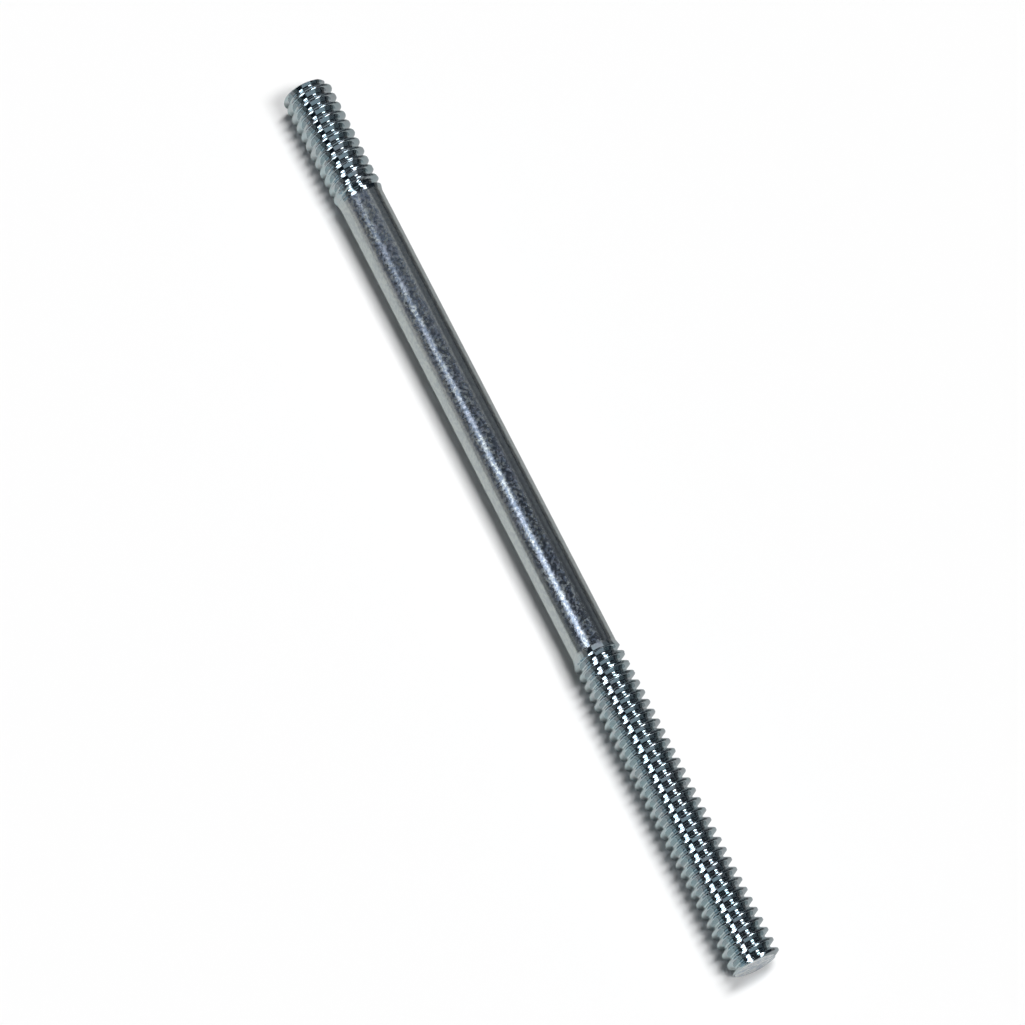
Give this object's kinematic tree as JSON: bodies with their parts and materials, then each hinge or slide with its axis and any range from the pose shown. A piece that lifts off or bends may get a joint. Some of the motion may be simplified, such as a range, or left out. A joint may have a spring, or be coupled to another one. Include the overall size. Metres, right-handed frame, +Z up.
{
  "type": "air cleaner stud",
  "caption": "Long slim steel stud with a plain shank, a short right-hand thread at one end for the carburettor and a long one at the other for a wing nut.",
  "frame": {"origin": "on the stud's axis, at the centre of the carburettor end's face", "axes": "+X along the stud from the carburettor end to the wing nut end, +Z up with the stud lying down"},
  "size_m": [0.117, 0.006, 0.006],
  "materials": {
    "zinc_plating": "bright zinc plating over drawn steel"
  },
  "bodies": {
    "root": {"stud": "zinc_plating"}
  },
  "joints": []
}
